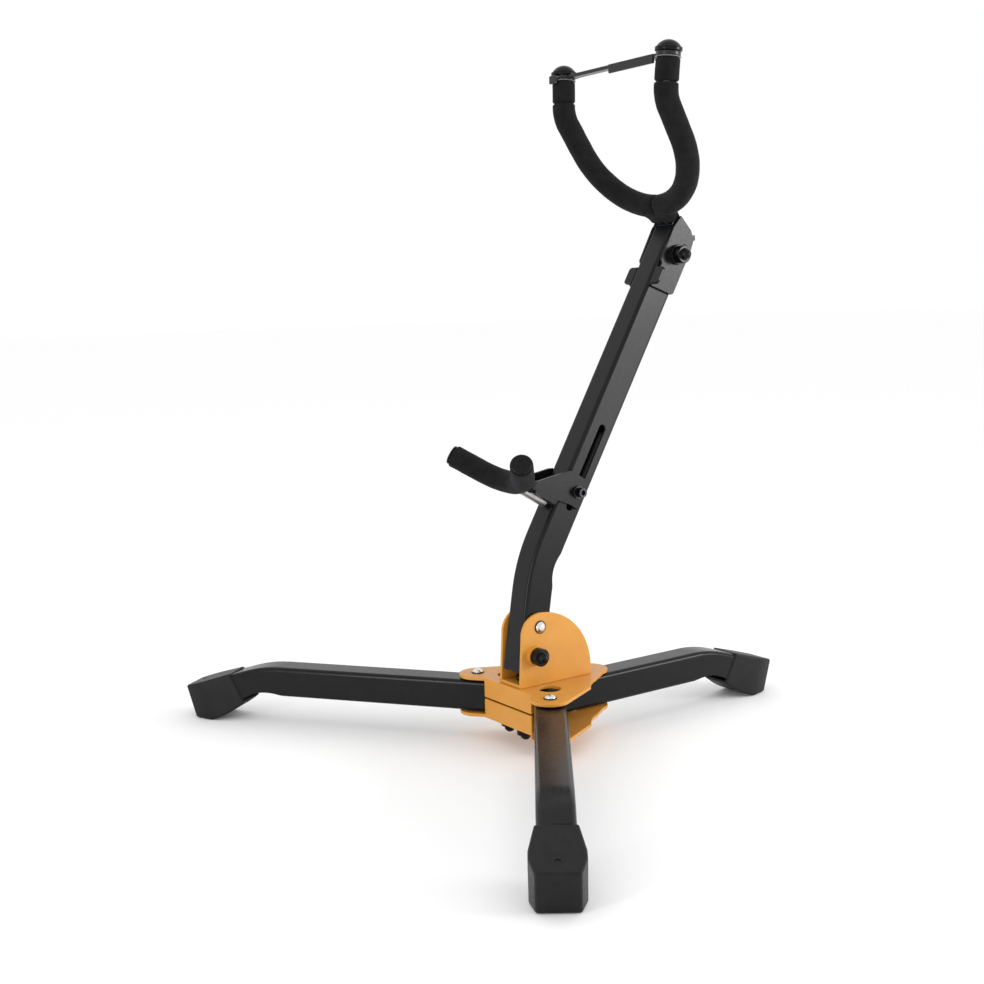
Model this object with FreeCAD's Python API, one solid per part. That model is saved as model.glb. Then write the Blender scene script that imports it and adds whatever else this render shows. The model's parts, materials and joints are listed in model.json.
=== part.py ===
import FreeCAD, Part
import math
import os

# Folding saxophone stand, in millimetres, +Z up, -Y the side the instrument faces.
# The shapes are drawn about the hub: floor at z = 0, hub centre on the Z axis.
# They are exported about the bottom centre of the whole stand's bounding box.

# --- square leg tube, bends and rubber feet ---
LEG_SIZE = 25.0
LEG_WALL = 1.8
LEG_CORNER = 3.5
LEG_AXIS_Z = 35.9
LEG_BEND_AT = 188.0
LEG_BEND_DROP = 16.5
LEG_BEND_RADIUS = 100.0
LEG_INNER_END = 34.0
TUBE_PAST_BEND = 70.0
PIVOT_X = 48.2
PIVOT_Y = -19.0
LEG_SPREAD = 53.36
LEG_LOCK_INSET = 26.3
REAR_LEG_FRONT_Y = -19.5
REAR_BEND_Y = 180.0
CRIMP_DEPTH = 2.6
CRIMP_RADIUS = 42.0
FOOT_SKIN = 1.1
FOOT_FLARE = 5.0
FOOT_RIM_TOP = 29.0
FOOT_RIM_LOW = 24.0
FOOT_END = 74.0
FOOT_WIDEST = 52.0
FOOT_CHAMFER = (14.0, 4.0)
FOOT_PAD = 18.0
DIMPLE = (2.0, 0.5)
DIMPLE_INSET = 11.0

# --- hub: two pressed shells and the yoke welded on top ---
SHEET = 2.6
SHELL_GAP = 1.2
HUB_TOP_Z = LEG_AXIS_Z + LEG_SIZE / 2 + SHELL_GAP + SHEET
HUB_BOTTOM_Z = LEG_AXIS_Z - LEG_SIZE / 2 - SHELL_GAP - SHEET
FLANGE_Y = -24.6
FLANGE_HALF = 31.2
FLANGE_SPLIT = 1.4
EAR_RADIUS = 15.0
EAR_ARC = (-50.0, 27.0)
CENTRE_FASTENERS = (-7.5, 36.0)
ACCESS_HOLE = 8.75
YOKE_SHEET = 2.5
YOKE_HALF = 14.0
YOKE_PIVOT_Y = -1.5
YOKE_PIVOT_Z = 98.3
YOKE_LOCK_Y = -7.0
YOKE_LOCK_Z = 76.5
YOKE_TOP_Z = 109.5
YOKE_ARC = 50.0
YOKE_FRONT_Y = -21.5
YOKE_CORNER = 17.5

# --- post: rectangular tube, leaning back in two straights ---
POST_WIDTH = 22.0
POST_DEPTH = 25.5
POST_WALL = 1.8
POST_CORNER = 3.0
POST_LEAN = 30.16
POST_FOOT_LEAN = 9.5
POST_REF_Y = 95.38
POST_REF_Z = 300.0
POST_FOOT_Z = 62.0
POST_TOP = 116.3
POST_BEND_RADIUS = 120.0
POST_KNEE_Y = 5.3
POST_KNEE_Z = 144.96
POST_CRIMP_DEPTH = 2.0
POST_CRIMP = 26.0
SLOT_LOW = -130.8
SLOT_HIGH = -56.6
SLOT_ACROSS = 1.2
SLOT_WIDTH = 6.5

# --- bracket sheet, gaps and fasteners shared by the fork and the cradle ---
BRACKET_OUT = 13.6
BRACKET_IN = 11.2
PIN = 2.5
SHAFT = 3.0
FIT = 0.05
HOLE = SHAFT + FIT
DOME = 4.5
DOME_RISE = 2.6
RING = 5.2
RING_THICK = 0.8
BUSH = 4.5
PIVOT_WASHER = 10.0
POST_WASHER = 7.0
SHIM = 8.0
SPACER = 5.5
BOLT_HEAD = (6.5, 3.5)
BOLT_SOCKET = (2.9, 2.3)
BOLT_PAST_NUT = 8.0

# --- spring plunger, measured outwards from the outer face of its sheet ---
BOSS = 8.0
BOSS_RISE = 3.0
BARREL = 4.5
BARREL_TOP = 7.0
BARREL_ROOM = 3.6
ROOM_TOP = 5.9
COLLAR_HIGH = -1.2
PIN_TIP = -2.4
PIN_TOP = 12.0
KNOB = 7.0
KNOB_LOW = 3.1
KNOB_HIGH = 9.6
KNOB_ROOM = 4.8
KNOB_ROOM_TOP = 7.7
KNOB_TIP = 15.1
SPRING_WIRE = 0.3
SPRING_PITCH = 0.74
SPRING_TURNS = 4

# --- fork: two rods from one stem, each in its own foam sleeve ---
FORK_Y = 138.0
FORK_Z = 423.0
FORK_LEAN = 32.4
FORK_ROD = 3.9
FORK_FOAM = 9.3
FORK_ARC = 59.5
FORK_FLARE = 3.5
STEM_X = 4.2
STEM_ARC = 12.0
STEM_ROOT = -26.0
FORK_ELBOW = 88.6
FORK_ELBOW_ARC = 26.0
TIP_DIRECTION = FreeCAD.Vector(0.05, 0.06, 1.0)
TIP_LENGTH = 38.0
FOAM_LENGTH = 10.5
SLEEVE_START = 11.0
SLEEVE_END = 28.3
TIP_RING = (9.9, 0.6)
LATCH_START = 29.2
LATCH_THICK = 3.2
LATCH_SLIM = 2.8
LATCH_EYE = 9.4
LATCH_BLADE = 3.6
CAP_START = 32.7
CAP_RADIUS = 10.4
CAP_DISC = 2.7
CAP_CROWN = (9.8, 6.0)
WEB_LOW = 116.4
WEB_THICK = 2.5
WEB_REAR = 3.9
WEB_PROUD = 1.0
WING_REACH = 7.0
WING_CORNER = 3.0
WING_SPAN = (64.0, 79.0)
WING_FRONT = -12.0
FORK_PIVOT = (106.5, 5.5)
FORK_LOCK = (97.0, 1.0)
FORK_FOLD = 62.6
FOAM_GAP = 0.1
FOAM_FREE = 128.4

# --- cradle: V of rod in foam on a stem, clamped through the slot ---
CRADLE_ALONG = -131.0
CRADLE_ACROSS = -57.5
CRADLE_ROD = 4.0
CRADLE_FOAM = 8.8
CRADLE_TIP_X = 45.0
CRADLE_TIP_OUT = 23.6
CRADLE_VERTEX = -22.6
CRADLE_ARC = 38.0
CRADLE_TILT = 9.7
CRADLE_STEM = 4.5
CRADLE_GAP = 0.3
CRADLE_LOW = -133.1
PLUG_THICK = 2.0
PLUG_DISH = (3.0, 1.0)
BRIDGE = (-37.0, -34.4)
CLAMP_ALONG = -114.9
CLAMP_WASHER = (5.2, 1.6)
CLAMP_HEAD = (3.8, 5.2)
CLAMP_SOCKET = 2.1
CLAMP_PAST_SHEET = 10.0
HAND_KNOB = 11.5
HAND_KNOB_HUB = (7.5, 4.0)
HAND_KNOB_RIM = 10.0
SCALLOP = (3.2, 2.2)
SCALLOPS = 8
INSERT = (5.0, 10.4)

EPS = 0.02
BIG = 400.0
X_AXIS = FreeCAD.Vector(1, 0, 0)
Y_AXIS = FreeCAD.Vector(0, 1, 0)
Z_AXIS = FreeCAD.Vector(0, 0, 1)
ORIGIN = FreeCAD.Vector(0, 0, 0)


def vec(x, y, z):
    return FreeCAD.Vector(x, y, z)


def mirrored(shape):
    return shape.mirror(ORIGIN, X_AXIS)


def box(low, high):
    size = [b - a for a, b in zip(low, high)]
    return Part.makeBox(size[0], size[1], size[2], vec(*low))


def rod(radius, start, end):
    direction = end.sub(start)
    return Part.makeCylinder(radius, direction.Length, start, direction)


def ring(outer, inner, start, end):
    return rod(outer, start, end).cut(rod(inner, start, end))


def dome(radius, rise, base, direction):
    """Spherical cap of the given base radius and rise."""
    ball = (radius * radius + rise * rise) / (2 * rise)
    unit = vec(direction.x, direction.y, direction.z).normalize()
    centre = base.sub(unit.multiply(ball - rise))
    sphere = Part.makeSphere(ball, centre)
    unit = vec(direction.x, direction.y, direction.z).normalize()
    return sphere.common(Part.makeCylinder(radius + 1, rise + 1, base, unit))


def path_wire(points, radii):
    """Straight runs joined by tangent arcs, one radius for each inner corner."""
    edges = []
    start = points[0]
    for i in range(1, len(points) - 1):
        corner = points[i]
        before = corner.sub(points[i - 1]).normalize()
        after = points[i + 1].sub(corner).normalize()
        half = before.getAngle(after) / 2
        reach = radii[i - 1] * math.tan(half)
        inward = after.sub(before).normalize()
        arc_in = corner.sub(vec(*before).multiply(reach))
        arc_out = corner.add(vec(*after).multiply(reach))
        middle = corner.add(inward.multiply(radii[i - 1] / math.cos(half) - radii[i - 1]))
        edges.append(Part.makeLine(start, arc_in))
        edges.append(Part.Arc(arc_in, middle, arc_out).toShape())
        start = arc_out
    edges.append(Part.makeLine(start, points[-1]))
    return Part.Wire(edges)


def round_pipe(path, radius):
    first = path.Edges[0]
    start = first.valueAt(first.FirstParameter)
    tangent = first.tangentAt(first.FirstParameter)
    circle = Part.Wire([Part.makeCircle(radius, start, tangent)])
    return path.makePipeShell([circle], True, False)


def rounded_section(width, depth, corner, start, tangent):
    """Rounded rectangle, width along the horizontal across the tangent, at the start of a path."""
    half_w = width / 2 - corner
    half_d = depth / 2 - corner
    turn = math.sin(math.radians(45)) * corner
    edges = []
    for quarter in range(4):
        angle = 90 * quarter
        even = quarter % 2 == 0
        side = width / 2 if even else depth / 2
        half = half_d if even else half_w
        other = half_w if even else half_d
        rotate = FreeCAD.Rotation(Z_AXIS, angle)
        arc_start = rotate.multVec(vec(side, half, 0))
        edges.append(Part.makeLine(rotate.multVec(vec(side, -half, 0)), arc_start))
        arc_middle = rotate.multVec(vec(other + turn, half + turn, 0))
        arc_end = rotate.multVec(vec(other, half + corner, 0))
        edges.append(Part.Arc(arc_start, arc_middle, arc_end).toShape())
    section = Part.Wire(edges)
    across = tangent.cross(Z_AXIS)
    if across.Length < EPS:
        across = X_AXIS
    up = across.cross(tangent)
    section.Placement = FreeCAD.Placement(start, FreeCAD.Rotation(across, up, tangent, "XYZ"))
    return section


def box_pipe(path, width, depth, corner):
    first = path.Edges[0]
    start = first.valueAt(first.FirstParameter)
    tangent = first.tangentAt(first.FirstParameter)
    section = rounded_section(width, depth, corner, start, tangent)
    return path.makePipeShell([section], True, False)


def extruded_outline(edges, direction):
    return Part.Face(Part.Wire(edges)).extrude(direction)


def outline_edges(points):
    """Closed outline of straight lines through the given points."""
    return [Part.makeLine(points[i - 1], points[i]) for i in range(len(points))]


# --- placing things on a leg ---

def on_leg(shape):
    """Drawn with its pivot on the Z axis and running out along +X: put on the right leg."""
    placed = shape.copy()
    placed.rotate(ORIGIN, Z_AXIS, LEG_SPREAD - 90)
    placed.translate(vec(PIVOT_X, PIVOT_Y, 0))
    return placed


def on_rear(shape):
    placed = shape.copy()
    placed.rotate(ORIGIN, Z_AXIS, 90)
    placed.translate(vec(0, REAR_BEND_Y - LEG_BEND_AT, 0))
    return placed


def leg_path(inner_end):
    drop = math.radians(LEG_BEND_DROP)
    tip_x = LEG_BEND_AT + TUBE_PAST_BEND * math.cos(drop)
    tip_z = LEG_AXIS_Z - TUBE_PAST_BEND * math.sin(drop)
    points = [vec(inner_end, 0, LEG_AXIS_Z), vec(LEG_BEND_AT, 0, LEG_AXIS_Z), vec(tip_x, 0, tip_z)]
    return path_wire(points, [LEG_BEND_RADIUS])


def leg_solid(inner_end):
    return box_pipe(leg_path(inner_end), LEG_SIZE, LEG_SIZE, LEG_CORNER)


def leg_tube(inner_end):
    """Square tube with the inside of its bend pressed in."""
    outer = leg_solid(inner_end)
    inside = LEG_SIZE - 2 * LEG_WALL
    bore = box_pipe(leg_path(inner_end), inside, inside, LEG_CORNER - LEG_WALL)
    underside = LEG_AXIS_Z - LEG_SIZE / 2
    centre_z = underside + CRIMP_DEPTH - CRIMP_RADIUS
    crimp_x = LEG_BEND_AT - LEG_SIZE / 2 * math.tan(math.radians(LEG_BEND_DROP / 2))
    low = vec(crimp_x, -LEG_SIZE, centre_z)
    high = vec(crimp_x, LEG_SIZE, centre_z)
    outer = outer.cut(rod(CRIMP_RADIUS, low, high))
    bore = bore.cut(rod(CRIMP_RADIUS + LEG_WALL, low, high))
    return outer.cut(bore)


def leg_hole(at, radius, low, high):
    return rod(radius, vec(at, 0, low), vec(at, 0, high))


def swinging_leg():
    tube = leg_tube(-LEG_INNER_END)
    tube = tube.cut(leg_hole(0, BUSH + FIT, 0, BIG))
    return tube.cut(leg_hole(-LEG_LOCK_INSET, PIN + FIT, 0, LEG_AXIS_Z))


def foot():
    """Moulded boot: slanted rim, flared sides, chamfered end, thick heel with a flat pad, dimpled top."""
    drop = math.radians(LEG_BEND_DROP)
    skin = LEG_SIZE / 2 + FOOT_SKIN
    flare = LEG_SIZE / 2 + FOOT_FLARE

    def bent(t, h):
        return vec(LEG_BEND_AT + t * math.cos(drop) + h * math.sin(drop), 0,
                   LEG_AXIS_Z - t * math.sin(drop) + h * math.cos(drop))

    rim_top = bent(FOOT_RIM_TOP, skin)
    rim_low = bent(FOOT_RIM_LOW, -skin)
    end_top = bent(FOOT_END, skin)
    end_low = vec(end_top.x - end_top.z * math.tan(drop), 0, 0)
    pad_start = vec(end_low.x - FOOT_PAD, 0, 0)
    heel = vec((rim_low.x + pad_start.x) / 2 + 1.0, 0, rim_low.z / 2 - 2.0)
    edges = [Part.makeLine(rim_low, rim_top), Part.makeLine(rim_top, end_top),
             Part.makeLine(end_top, end_low), Part.makeLine(end_low, pad_start),
             Part.Arc(pad_start, heel, rim_low).toShape()]
    side = extruded_outline(edges, vec(0, 2 * flare, 0))
    side.translate(vec(0, -flare, 0))
    length, depth = FOOT_CHAMFER
    half = [vec(0, skin - FOOT_SKIN, 0), vec(FOOT_RIM_TOP, skin, 0), vec(FOOT_WIDEST, flare, 0),
            vec(FOOT_END - length, flare, 0), vec(FOOT_END, flare - depth, 0)]
    other = [vec(p.x, -p.y, 0) for p in reversed(half)]
    plan = extruded_outline(outline_edges(half + other), vec(0, 0, 2 * FOOT_END))
    plan.translate(vec(0, 0, -FOOT_END))
    plan.rotate(ORIGIN, Y_AXIS, LEG_BEND_DROP)
    plan.translate(vec(LEG_BEND_AT, 0, LEG_AXIS_Z))
    radius, sink = DIMPLE
    spot = FOOT_END - DIMPLE_INSET
    dimple = rod(radius, bent(spot, skin - sink), bent(spot, skin + 1.0))
    return side.common(plan).cut([leg_solid(0), dimple])


# --- hub ---

def shell_outline(z):
    """Half outline on +X, then its mirror: flange, ear, shoulder, hollow, tongue."""
    spread = math.radians(LEG_SPREAD)
    side = vec(math.cos(spread), math.sin(spread), 0)
    pivot = vec(PIVOT_X, PIVOT_Y, z)
    ear_in = pivot.sub(vec(*side).multiply(EAR_RADIUS))
    ear_mid_angle, ear_out_angle = [math.radians(a) for a in EAR_ARC]
    ear_mid = pivot.add(vec(math.cos(ear_mid_angle), math.sin(ear_mid_angle), 0).multiply(EAR_RADIUS))
    ear_end = pivot.add(vec(math.cos(ear_out_angle), math.sin(ear_out_angle), 0).multiply(EAR_RADIUS))
    shoulder = vec(42.5, 25.2, z)
    hollow = vec(33.2, 33.6, z)
    waist = vec(27.0, 43.0, z)
    tongue = vec(15.4, 60.0, z)
    corner = vec(FLANGE_HALF, FLANGE_Y, z)
    right = [Part.makeLine(corner, ear_in), Part.Arc(ear_in, ear_mid, ear_end).toShape(),
             Part.makeLine(ear_end, shoulder), Part.Arc(shoulder, hollow, waist).toShape(),
             Part.makeLine(waist, tongue)]
    left = [mirrored(edge) for edge in right]
    front = Part.makeLine(corner, vec(-FLANGE_HALF, FLANGE_Y, z))
    tip = Part.Arc(tongue, vec(0, 72.5, z), vec(-tongue.x, tongue.y, z)).toShape()
    return Part.Wire(Part.__sortEdges__(right + left + [front, tip]))


def hub_shell(low, flange_low, flange_high):
    plate = Part.Face(shell_outline(low)).extrude(vec(0, 0, SHEET))
    flange = box((-FLANGE_HALF, FLANGE_Y, flange_low), (FLANGE_HALF, FLANGE_Y + SHEET, flange_high))
    shell = plate.fuse(flange)
    for x in (-PIVOT_X, PIVOT_X):
        shell = shell.cut(rod(HOLE, vec(x, PIVOT_Y, 0), vec(x, PIVOT_Y, BIG)))
    for y in CENTRE_FASTENERS:
        shell = shell.cut(rod(HOLE, vec(0, y, 0), vec(0, y, BIG)))
    return shell.removeSplitter()


def lock_spot():
    """Where the right leg's lock pin stands."""
    spread = math.radians(LEG_SPREAD)
    return (PIVOT_X - LEG_LOCK_INSET * math.sin(spread), PIVOT_Y + LEG_LOCK_INSET * math.cos(spread))


def hub_top():
    shell = hub_shell(HUB_TOP_Z - SHEET, LEG_AXIS_Z + FLANGE_SPLIT / 2, HUB_TOP_Z)
    x, y = lock_spot()
    for sign in (-1, 1):
        shell = shell.cut(rod(ACCESS_HOLE, vec(sign * x, y, LEG_AXIS_Z), vec(sign * x, y, BIG)))
    return shell


def hub_bottom():
    shell = hub_shell(HUB_BOTTOM_Z, HUB_BOTTOM_Z, LEG_AXIS_Z - FLANGE_SPLIT / 2)
    x, y = lock_spot()
    for sign in (-1, 1):
        boss_end = vec(sign * x, y, HUB_BOTTOM_Z - BOSS_RISE)
        shell = shell.fuse(rod(BOSS, boss_end, vec(sign * x, y, HUB_BOTTOM_Z)))
        shell = shell.cut(rod(BARREL, boss_end, vec(sign * x, y, LEG_AXIS_Z - LEG_SIZE / 2)))
    return shell.removeSplitter()


def cheek(low_x, high_x):
    """One side of the yoke: leaning front edge, rounded top corner, long arc at the rear."""
    base = HUB_TOP_Z
    arc_z = YOKE_TOP_Z - YOKE_ARC
    rear_y = YOKE_PIVOT_Y + math.sqrt(YOKE_ARC ** 2 - (base - arc_z) ** 2)
    front_top_y = YOKE_PIVOT_Y - YOKE_CORNER
    turn = YOKE_CORNER * math.sin(math.radians(45))
    slant = math.sin(math.radians(45)) * YOKE_ARC
    front_low = vec(low_x, YOKE_FRONT_Y, base)
    front_high = vec(low_x, front_top_y, YOKE_TOP_Z - YOKE_CORNER)
    corner = vec(low_x, YOKE_PIVOT_Y - turn, YOKE_TOP_Z - YOKE_CORNER + turn)
    top = vec(low_x, YOKE_PIVOT_Y, YOKE_TOP_Z)
    shoulder = vec(low_x, YOKE_PIVOT_Y + slant, arc_z + slant)
    rear = vec(low_x, rear_y, base)
    edges = [Part.makeLine(front_low, front_high), Part.Arc(front_high, corner, top).toShape(),
             Part.Arc(top, shoulder, rear).toShape(), Part.makeLine(rear, front_low)]
    return extruded_outline(edges, vec(high_x - low_x, 0, 0))


def yoke():
    """U of sheet with a raised boss for the post's plunger on its right cheek."""
    inner = YOKE_HALF - YOKE_SHEET
    rear_y = cheek(inner, YOKE_HALF).BoundBox.YMax
    base = box((-YOKE_HALF, YOKE_FRONT_Y, HUB_TOP_Z), (YOKE_HALF, rear_y, HUB_TOP_Z + YOKE_SHEET))
    body = base.fuse([cheek(inner, YOKE_HALF), cheek(-YOKE_HALF, -inner)])
    boss_start = vec(YOKE_HALF, YOKE_LOCK_Y, YOKE_LOCK_Z)
    boss_end = vec(YOKE_HALF + BOSS_RISE, YOKE_LOCK_Y, YOKE_LOCK_Z)
    body = body.fuse(rod(BOSS, boss_start, boss_end))
    body = body.cut(rod(BARREL, vec(0, YOKE_LOCK_Y, YOKE_LOCK_Z), boss_end))
    for sign in (-1, 1):
        far = vec(sign * BIG, YOKE_PIVOT_Y, YOKE_PIVOT_Z)
        body = body.cut(rod(HOLE, vec(0, YOKE_PIVOT_Y, YOKE_PIVOT_Z), far))
    for y in CENTRE_FASTENERS:
        body = body.cut(rod(HOLE, vec(0, y, HUB_TOP_Z - 1), vec(0, y, HUB_TOP_Z + SHEET + 1)))
    return body.removeSplitter()


# --- fasteners ---

def domed_rivet(start, end, radius):
    """Shaft between two sheet faces with a dome and room for a ring at each end."""
    along = end.sub(start).normalize()
    step = vec(*along).multiply(RING_THICK)
    low = start.sub(step)
    high = end.add(step)
    body = rod(radius, low, high)
    back = vec(-along.x, -along.y, -along.z)
    return body.fuse([dome(DOME, DOME_RISE, high, along), dome(DOME, DOME_RISE, low, back)])


def rivet_rings(start, end):
    along = end.sub(start).normalize()
    step = vec(*along).multiply(RING_THICK)
    rings = [ring(RING, HOLE, end, end.add(step)), ring(RING, HOLE, start.sub(step), start)]
    return Part.makeCompound(rings)


def hub_axis(x, y):
    return vec(x, y, HUB_BOTTOM_Z), vec(x, y, HUB_TOP_Z)


def pair(shape):
    return Part.makeCompound([shape, mirrored(shape)])


def plate_washers(x, y, outer, inner):
    """One washer above and one below a leg tube."""
    low = LEG_AXIS_Z - LEG_SIZE / 2
    high = LEG_AXIS_Z + LEG_SIZE / 2
    lower = ring(outer, inner, vec(x, y, low - SHELL_GAP + FIT), vec(x, y, low - FIT))
    upper = ring(outer, inner, vec(x, y, high + FIT), vec(x, y, high + SHELL_GAP - FIT))
    return [lower, upper]


def rear_shims():
    shims = []
    for y in CENTRE_FASTENERS:
        for low in (LEG_AXIS_Z - LEG_SIZE / 2 - SHELL_GAP, LEG_AXIS_Z + LEG_SIZE / 2):
            shims.append(ring(SHIM, HOLE, vec(0, y, low), vec(0, y, low + SHELL_GAP)))
    return Part.makeCompound(shims)


def tube_spacer(y):
    inside = LEG_SIZE / 2 - LEG_WALL
    return ring(SPACER, HOLE, vec(0, y, LEG_AXIS_Z - inside), vec(0, y, LEG_AXIS_Z + inside))


def hexagon(radius, centre, first, second):
    """Closed hexagon about a centre, with corners along the two given directions."""
    corners = []
    for i in range(7):
        angle = math.radians(60 * i)
        step = vec(*first).multiply(math.cos(angle)).add(vec(*second).multiply(math.sin(angle)))
        corners.append(centre.add(step.multiply(radius)))
    return Part.Face(Part.makePolygon(corners))


def centre_bolt():
    y = CENTRE_FASTENERS[0]
    floor = HUB_TOP_Z + YOKE_SHEET
    radius, height = BOLT_HEAD
    across, depth = BOLT_SOCKET
    top = vec(0, y, floor + height)
    shaft = rod(SHAFT, vec(0, y, HUB_BOTTOM_Z - BOLT_PAST_NUT), vec(0, y, floor))
    head = rod(radius, vec(0, y, floor), top)
    socket = hexagon(across, top, X_AXIS, Y_AXIS).extrude(vec(0, 0, -depth))
    return shaft.fuse(head).cut(socket).removeSplitter()


def centre_cap():
    """Domed black cap nut under the hub, stepped like the plunger knobs."""
    y = CENTRE_FASTENERS[0]
    base = vec(0, y, HUB_BOTTOM_Z)
    shoulder = vec(0, y, HUB_BOTTOM_Z - KNOB_HIGH)
    down = vec(0, 0, -1)
    body = rod(KNOB, base, shoulder).fuse(dome(DOME, DOME - EPS, shoulder, down))
    return body.cut(rod(HOLE, base, vec(0, y, HUB_BOTTOM_Z - BOLT_PAST_NUT - FIT)))


def rear_rivet():
    y = CENTRE_FASTENERS[1]
    floor = HUB_TOP_Z + YOKE_SHEET
    shaft = rod(SHAFT, vec(0, y, HUB_BOTTOM_Z), vec(0, y, floor))
    return shaft.fuse([dome(DOME, DOME_RISE, vec(0, y, floor), Z_AXIS),
                       dome(DOME, DOME_RISE, vec(0, y, HUB_BOTTOM_Z), vec(0, 0, -1))])


# --- spring plunger: drawn along +Z from its sheet's outer face, then placed ---

def place_plunger(shape, spot, direction):
    placed = shape.copy()
    placed.Placement = FreeCAD.Placement(spot, FreeCAD.Rotation(Z_AXIS, direction))
    return placed


def plunger_barrel():
    body = rod(BARREL - EPS, vec(0, 0, -SHEET + FIT), vec(0, 0, BARREL_TOP))
    body = body.cut(rod(BARREL_ROOM, vec(0, 0, -SHEET), vec(0, 0, ROOM_TOP)))
    return body.cut(rod(PIN + FIT, vec(0, 0, 0), vec(0, 0, BARREL_TOP + 1)))


def plunger_pin():
    """Pin with a collar; its end stands level with the inside of its sheet, before its seat."""
    shaft = rod(PIN, vec(0, 0, PIN_TIP), vec(0, 0, PIN_TOP))
    collar = rod(BARREL_ROOM - FIT, vec(0, 0, PIN_TIP), vec(0, 0, COLLAR_HIGH))
    return shaft.fuse(collar).removeSplitter()


def plunger_spring():
    """Coil drawn pressed against the barrel's end, leaving the collar its travel."""
    radius = (BARREL_ROOM + PIN) / 2
    low = ROOM_TOP - SPRING_PITCH * SPRING_TURNS - SPRING_WIRE - EPS

    def coil_point(quarters):
        angle = math.radians(90 * quarters)
        return vec(radius * math.cos(angle), radius * math.sin(angle), low + SPRING_PITCH * quarters / 4)

    arcs = [Part.Arc(coil_point(i), coil_point(i + 0.5), coil_point(i + 1)).toShape()
            for i in range(4 * SPRING_TURNS)]
    return round_pipe(Part.Wire(arcs), SPRING_WIRE)


def plunger_knob():
    body = rod(KNOB, vec(0, 0, KNOB_LOW), vec(0, 0, KNOB_HIGH))
    nose = rod(DOME, vec(0, 0, KNOB_HIGH), vec(0, 0, KNOB_TIP - DOME))
    tip = dome(DOME, DOME - EPS, vec(0, 0, KNOB_TIP - DOME), Z_AXIS)
    body = body.fuse([nose, tip])
    body = body.cut(rod(KNOB_ROOM, vec(0, 0, KNOB_LOW - 1), vec(0, 0, KNOB_ROOM_TOP)))
    return body.cut(rod(PIN, vec(0, 0, KNOB_LOW), vec(0, 0, PIN_TOP))).removeSplitter()


# --- post ---

def post_point(along, across, x=0.0):
    """Point given along and across (rearwards) the upper straight of the post."""
    lean = math.radians(POST_LEAN)
    return vec(x, POST_REF_Y + along * math.sin(lean) + across * math.cos(lean),
               POST_REF_Z + along * math.cos(lean) - across * math.sin(lean))


def on_post(shape):
    """Drawn with Y across and Z along: put on the leaning upper straight."""
    placed = shape.copy()
    placed.rotate(ORIGIN, X_AXIS, -POST_LEAN)
    placed.translate(vec(0, POST_REF_Y, POST_REF_Z))
    return placed


def post_path():
    foot_lean = math.radians(POST_FOOT_LEAN)
    foot_y = POST_KNEE_Y - (POST_KNEE_Z - POST_FOOT_Z) * math.tan(foot_lean)
    points = [vec(0, foot_y, POST_FOOT_Z), vec(0, POST_KNEE_Y, POST_KNEE_Z), post_point(POST_TOP, 0)]
    return path_wire(points, [POST_BEND_RADIUS])


def post_tube():
    path = post_path()
    outer = box_pipe(path, POST_WIDTH, POST_DEPTH, POST_CORNER)
    bore = box_pipe(path, POST_WIDTH - 2 * POST_WALL, POST_DEPTH - 2 * POST_WALL, POST_CORNER - POST_WALL)
    mean = math.radians((POST_LEAN + POST_FOOT_LEAN) / 2)
    offset = POST_DEPTH / 2 - POST_CRIMP_DEPTH + POST_CRIMP
    crimp = vec(0, POST_KNEE_Y + offset * math.cos(mean), POST_KNEE_Z - offset * math.sin(mean))
    low = crimp.sub(vec(POST_WIDTH, 0, 0))
    high = crimp.add(vec(POST_WIDTH, 0, 0))
    outer = outer.cut(rod(POST_CRIMP, low, high))
    bore = bore.cut(rod(POST_CRIMP + POST_WALL, low, high))
    tube = outer.cut(bore)
    slot = box((-BIG, SLOT_ACROSS - SLOT_WIDTH / 2, SLOT_LOW + SLOT_WIDTH / 2),
               (BIG, SLOT_ACROSS + SLOT_WIDTH / 2, SLOT_HIGH - SLOT_WIDTH / 2))
    for z in (SLOT_LOW + SLOT_WIDTH / 2, SLOT_HIGH - SLOT_WIDTH / 2):
        slot = slot.fuse(rod(SLOT_WIDTH / 2, vec(-BIG, SLOT_ACROSS, z), vec(BIG, SLOT_ACROSS, z)))
    tube = tube.cut(on_post(slot))
    pivot = vec(0, YOKE_PIVOT_Y, YOKE_PIVOT_Z)
    tube = tube.cut(rod(BUSH + FIT, pivot.sub(vec(BIG, 0, 0)), pivot.add(vec(BIG, 0, 0))))
    tube = tube.cut(rod(PIN + FIT, vec(0, YOKE_LOCK_Y, YOKE_LOCK_Z), vec(BIG, YOKE_LOCK_Y, YOKE_LOCK_Z)))
    along, across = FORK_PIVOT
    tube = tube.cut(on_post(rod(PIN + FIT, vec(-BIG, across, along), vec(BIG, across, along))))
    for along, across in (FORK_LOCK, folded_lock()):
        tube = tube.cut(on_post(rod(PIN + FIT, vec(0, across, along), vec(BIG, across, along))))
    return tube.cut(on_post(top_relief()))


def folded_lock():
    """Where the fork's lock pin meets the post once the fork is laid back in line."""
    fold = math.radians(FORK_FOLD)
    along = FORK_LOCK[0] - FORK_PIVOT[0]
    across = FORK_LOCK[1] - FORK_PIVOT[1]
    return (FORK_PIVOT[0] + along * math.cos(fold) - across * math.sin(fold),
            FORK_PIVOT[1] + along * math.sin(fold) + across * math.cos(fold))


def top_relief():
    """The rear of the post's top is rounded about the fork pivot so that the web swings past."""
    along, across = FORK_PIVOT
    swing = WEB_LOW - along - 3 * FIT
    block = box((-BIG, across, along), (BIG, across + POST_DEPTH, along + POST_DEPTH))
    return block.cut(rod(swing, vec(-BIG, across, along), vec(BIG, across, along)))


# --- fork ---

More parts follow.
